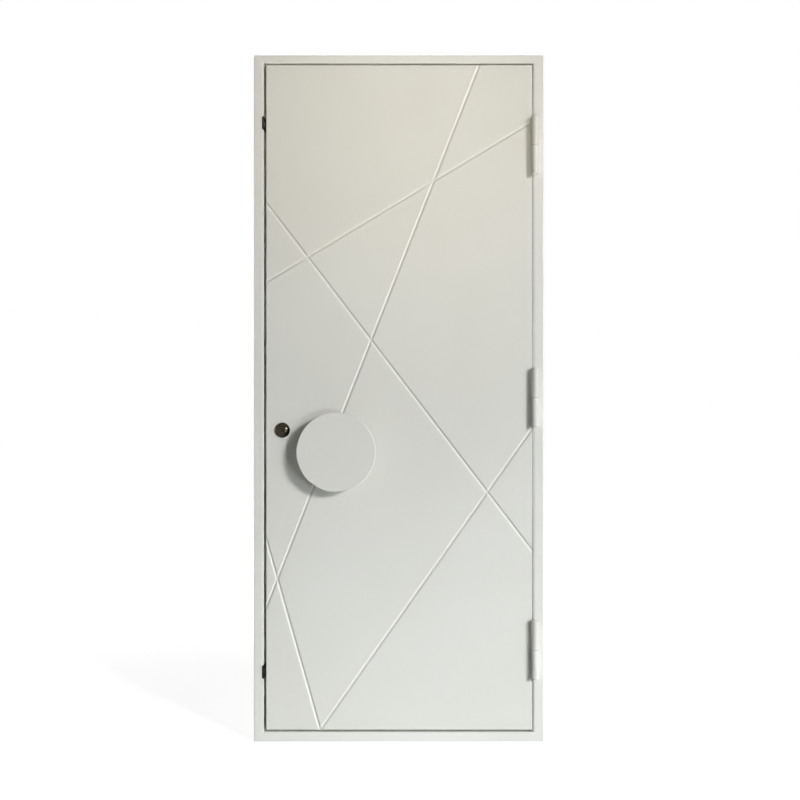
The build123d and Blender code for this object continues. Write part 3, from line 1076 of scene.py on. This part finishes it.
@dataclass
class BarrelHinges(Assembly):
    """Three weld-on barrel hinges."""

    bead: float = 1.7 * MM
    foot_setback: float = 8 * MM
    end_gap: float = 3 * MM
    frame_end_run: float = 9 * MM

    nodes = tuple(
        f"{hinge}_hinge_{part}" for hinge in HINGES for part in ("leaf_half", "frame_half", "pin", "washer")
    )

    def leaf_welds(self) -> list[BeadPath]:
        """Find the beads along the feet on the leaf.

        Returns:
            One run for each hinge, up the foot and over its end.
        """
        leaf_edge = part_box("leaf_front_sheet")[1].x
        runs = []
        for hinge in HINGES:
            low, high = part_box(f"{hinge}_hinge_leaf_half")
            top = high.z - self.foot_setback
            runs.append(weld_run(
                self.bead, (low.x, high.y, low.z + self.end_gap), (low.x, high.y, top),
                (leaf_edge - self.bead, high.y, top),
            ))
        return runs

    def frame_welds(self) -> list[BeadPath]:
        """Find the beads along the feet on the jamb.

        Returns:
            One run for each hinge, down the foot and under its end.
        """
        runs = []
        for hinge in HINGES:
            low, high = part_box(f"{hinge}_hinge_frame_half")
            foot = low.z + self.foot_setback
            runs.append(weld_run(
                self.bead, (high.x, high.y, high.z - self.end_gap), (high.x, high.y, foot),
                (high.x - self.frame_end_run, high.y, foot),
            ))
        return runs


@dataclass
class DoorLeaf(Assembly):
    """Pressed front sheet, back sheet and the tube core between them."""

    stitch_bead: float = 1.1 * MM
    stitch_length: float = 22 * MM
    stitch_pitch: float = 0.2

    nodes = (
        "leaf_front_sheet", "leaf_back_sheet", "leaf_lock_stile", "leaf_hinge_stile",
        "leaf_bottom_rail", "leaf_top_rail",
    )

    def welds(self) -> list[BeadPath]:
        """Find the stitches between the folded edge and the back sheet.

        Returns:
            The runs of weld round the leaf's edge.
        """
        low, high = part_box("leaf_back_sheet")
        outline = ((low.x, low.z), (high.x, low.z), (high.x, high.z), (low.x, high.z))
        corners = [Vector((x, low.y, z)) for x, z in outline]
        runs = []
        for start, end in zip(corners, corners[1:] + corners[:1]):
            runs += stitches(start, end, self.stitch_bead, self.stitch_length, self.stitch_pitch)
        return runs


@dataclass
class DiscPull(Assembly):
    """Round plate on a short neck."""

    bead: float = 2.8 * MM
    overlap: float = 0.25

    nodes = ("pull_disc", "pull_neck")

    def welds(self) -> list[BeadPath]:
        """Find the rings of weld at both ends of the neck.

        Returns:
            The two runs.
        """
        low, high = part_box("pull_neck")
        middle = (low + high) / 2
        radius = (high.x - low.x) / 2
        return [
            ring(Vector((middle.x, y, middle.z)), radius, self.bead, self.overlap) for y in (low.y, high.y)
        ]


@dataclass
class CylinderLock(Assembly):
    """Guards, cylinder, plug, turn and the bolts in the leaf's edge."""

    screw_step: float = 76 * MM

    nodes = (
        "lock_guard_outside", "lock_guard_inside", "lock_cylinder", "key_plug", "thumb_turn",
        "lock_forend", "dead_bolt", "upper_bolt", "lower_bolt",
    )

    def screws(self) -> ScrewHeads:
        """Find the screws at both ends of the forend.

        Returns:
            The screws on the leaf's edge.
        """
        low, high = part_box("lock_forend")
        middle = (low + high) / 2
        places = [Vector((low.x, middle.y, middle.z + step)) for step in (-self.screw_step, self.screw_step)]
        return ScrewHeads("forend_screws", Body.LEAF, Coat.BRIGHT_STEEL, places, Vector((-1, 0, 0)))


@dataclass(frozen=True)
class Lamp:
    """A round soft lamp: where it hangs, what it faces and how it shines."""

    name: str
    place: tuple[float, float, float]
    aim: tuple[float, float, float]
    size: float
    power: float
    colour: Colour
    spread: float = 180.0

    def hang(self) -> None:
        """Hang the lamp."""
        data = bpy.data.lights.new(self.name, "AREA")
        data.shape = "DISK"
        data.size = self.size
        data.energy = self.power
        data.color = self.colour
        data.spread = math.radians(self.spread)
        lamp = bpy.data.objects.new(self.name, data)
        lamp.location = self.place
        lamp.rotation_euler = (Vector(self.aim) - Vector(self.place)).to_track_quat("-Z", "Y").to_euler()
        bpy.context.scene.collection.objects.link(lamp)


# The high lamp at the right throws the disc's shadow. The others fill the face, the edges and the back.
LAMPS = (
    Lamp("key", (8.1, -9.0, 4.7), (0.0, 0.0, -0.2), 3.0, 65.0, WHITE, spread=40.0),
    Lamp("right_panel", (4.0, -2.7, 1.2), (0.0, 0.0, 1.0), 1.8, 17.0, (1.0, 0.97, 0.90)),
    Lamp("front", (-0.2, -4.5, 1.3), (0.0, 0.0, 1.1), 2.0, 1.0, (1.0, 0.97, 0.91)),
    Lamp("low_front", (0.4, -3.0, 0.3), (0.0, 0.0, 2.35), 0.8, 3.2, (1.0, 0.93, 0.77), spread=40.0),
    Lamp("low_right", (2.3, -3.6, 0.25), (-0.1, 0.0, 0.05), 0.4, 3.0, (0.87, 0.96, 1.0), spread=45.0),
    Lamp("overhead", (0.0, 0.8, 4.0), (0.0, 0.3, 0.0), 1.4, 24.0, (1.0, 0.98, 0.95)),
    Lamp("behind", (-2.4, 5.2, 1.7), (0.0, 0.0, 1.05), 2.0, 20.0, (1.0, 0.99, 0.97), spread=50.0),
    Lamp("lock_side", (-5.2, 0.7, 1.2), (-0.44, 0.0, 1.05), 1.6, 10.0, (1.0, 0.99, 0.97), spread=50.0),
)


@dataclass
class Studio:
    """Floor, lamps, white surround and camera."""

    middle_x: float = 0.004
    eye_height: float = 1.0442
    eye_distance: float = 3.2
    view_width: float = 2.4448
    sensor: float = 36.0
    floor_size: float = 40.0
    floor_colour: Colour = (0.68, 0.69, 0.70)
    floor_roughness: float = 0.9
    near_glow: float = 0.66
    near_reach: float = 0.7
    far_reach: float = 3.2
    sky_colour: Colour = (0.92, 0.98, 1.0)
    sky_strength: float = 0.02

    def camera(self) -> None:
        """Set the camera square on to the door's face."""
        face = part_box("leaf_front_sheet")[0].y
        data = bpy.data.cameras.new("camera")
        data.sensor_width = self.sensor
        data.lens = self.sensor * self.eye_distance / self.view_width
        eye = bpy.data.objects.new("camera", data)
        eye.location = (self.middle_x, face - self.eye_distance, self.eye_height)
        eye.rotation_euler = (math.radians(90), 0, 0)
        bpy.context.scene.collection.objects.link(eye)
        bpy.context.scene.camera = eye

    def surround(self) -> None:
        """Light the room softly, and show it as white."""
        world = bpy.data.worlds.new("surround")
        world.use_nodes = True
        bpy.context.scene.world = world
        wiring = Wiring(world.node_tree)
        soft = world.node_tree.nodes["Background"]
        soft.inputs["Color"].default_value = rgba(self.sky_colour)
        soft.inputs["Strength"].default_value = self.sky_strength
        white = wiring.out("ShaderNodeBackground", "Background", {"Color": rgba(WHITE), "Strength": 1.0})
        mixed = wiring.add("ShaderNodeMixShader", {"Fac": self.seen(wiring)})
        wiring.feed(mixed.inputs[1], soft.outputs["Background"])
        wiring.feed(mixed.inputs[2], white)
        wiring.feed(world.node_tree.nodes["World Output"].inputs["Surface"], mixed.outputs["Shader"])

    @staticmethod
    def seen(wiring: Wiring) -> bpy.types.NodeSocket:
        """Tell rays that show the surround from rays that light with it."""
        path = wiring.add("ShaderNodeLightPath").outputs
        clear = wiring.maths("MAXIMUM", path["Is Glossy Ray"], path["Is Transmission Ray"])
        return wiring.maths("MAXIMUM", path["Is Camera Ray"], clear)

    def floor(self) -> None:
        """Lay a pale floor that keeps the door's shadow."""
        half = self.floor_size / 2
        mesh = bpy.data.meshes.new(FLOOR)
        corners = [(-half, -half, 0), (half, -half, 0), (half, half, 0), (-half, half, 0)]
        mesh.from_pydata(corners, [], [(0, 1, 2, 3)])
        material = bpy.data.materials.new("pale_floor")
        material.use_nodes = True
        wiring = Wiring(material.node_tree)
        surface = material.node_tree.nodes["Principled BSDF"]
        surface.inputs["Base Color"].default_value = rgba(self.floor_colour)
        surface.inputs["Roughness"].default_value = self.floor_roughness
        surface.inputs["Specular IOR Level"].default_value = 0.0
        surface.inputs["Emission Color"].default_value = rgba(WHITE)
        reach = wiring.add("ShaderNodeVectorMath", {"Vector": wiring.object_place()}, operation="LENGTH")
        distance = wiring.socket(reach.outputs, "Value")
        glow = wiring.spread(distance, self.near_reach, self.far_reach, self.near_glow, 1.0, smooth=True)
        wiring.feed(surface.inputs["Emission Strength"], wiring.maths("MULTIPLY", self.seen(wiring), glow))
        mesh.materials.append(material)
        floor = bpy.data.objects.new(FLOOR, mesh)
        bpy.context.scene.collection.objects.link(floor)

    def build(self) -> None:
        """Set up the studio."""
        bpy.context.scene.view_settings.view_transform = "Standard"
        self.camera()
        self.surround()
        self.floor()
        for lamp in LAMPS:
            lamp.hang()
        LOG.info("studio: %d lamps, camera %.2f m from the door", len(LAMPS), self.eye_distance)


def main() -> None:
    """Dress the door piece by piece and set the studio."""
    logging.basicConfig(level=logging.INFO, format="%(name)s: %(message)s")
    shop = PaintShop()
    tubes, strikes, hinges = TubeFrame(), StrikePlates(), BarrelHinges()
    leaf, pull, lock = DoorLeaf(), DiscPull(), CylinderLock()
    for assembly in (tubes, strikes, hinges, leaf, pull, lock):
        assembly.dress(shop)
    tubes.gap_strip(shop)
    WeldBeads("frame_welds", Body.FRAME, Coat.FRAME_PAINT, tubes.welds() + hinges.frame_welds()).build(shop)
    leaf_runs = leaf.welds() + hinges.leaf_welds() + pull.welds()
    WeldBeads("leaf_welds", Body.LEAF, Coat.LEAF_PAINT, leaf_runs).build(shop)
    strikes.screws().build(shop)
    lock.screws().build(shop)
    Studio().build()


if __name__ == "__main__":
    main()
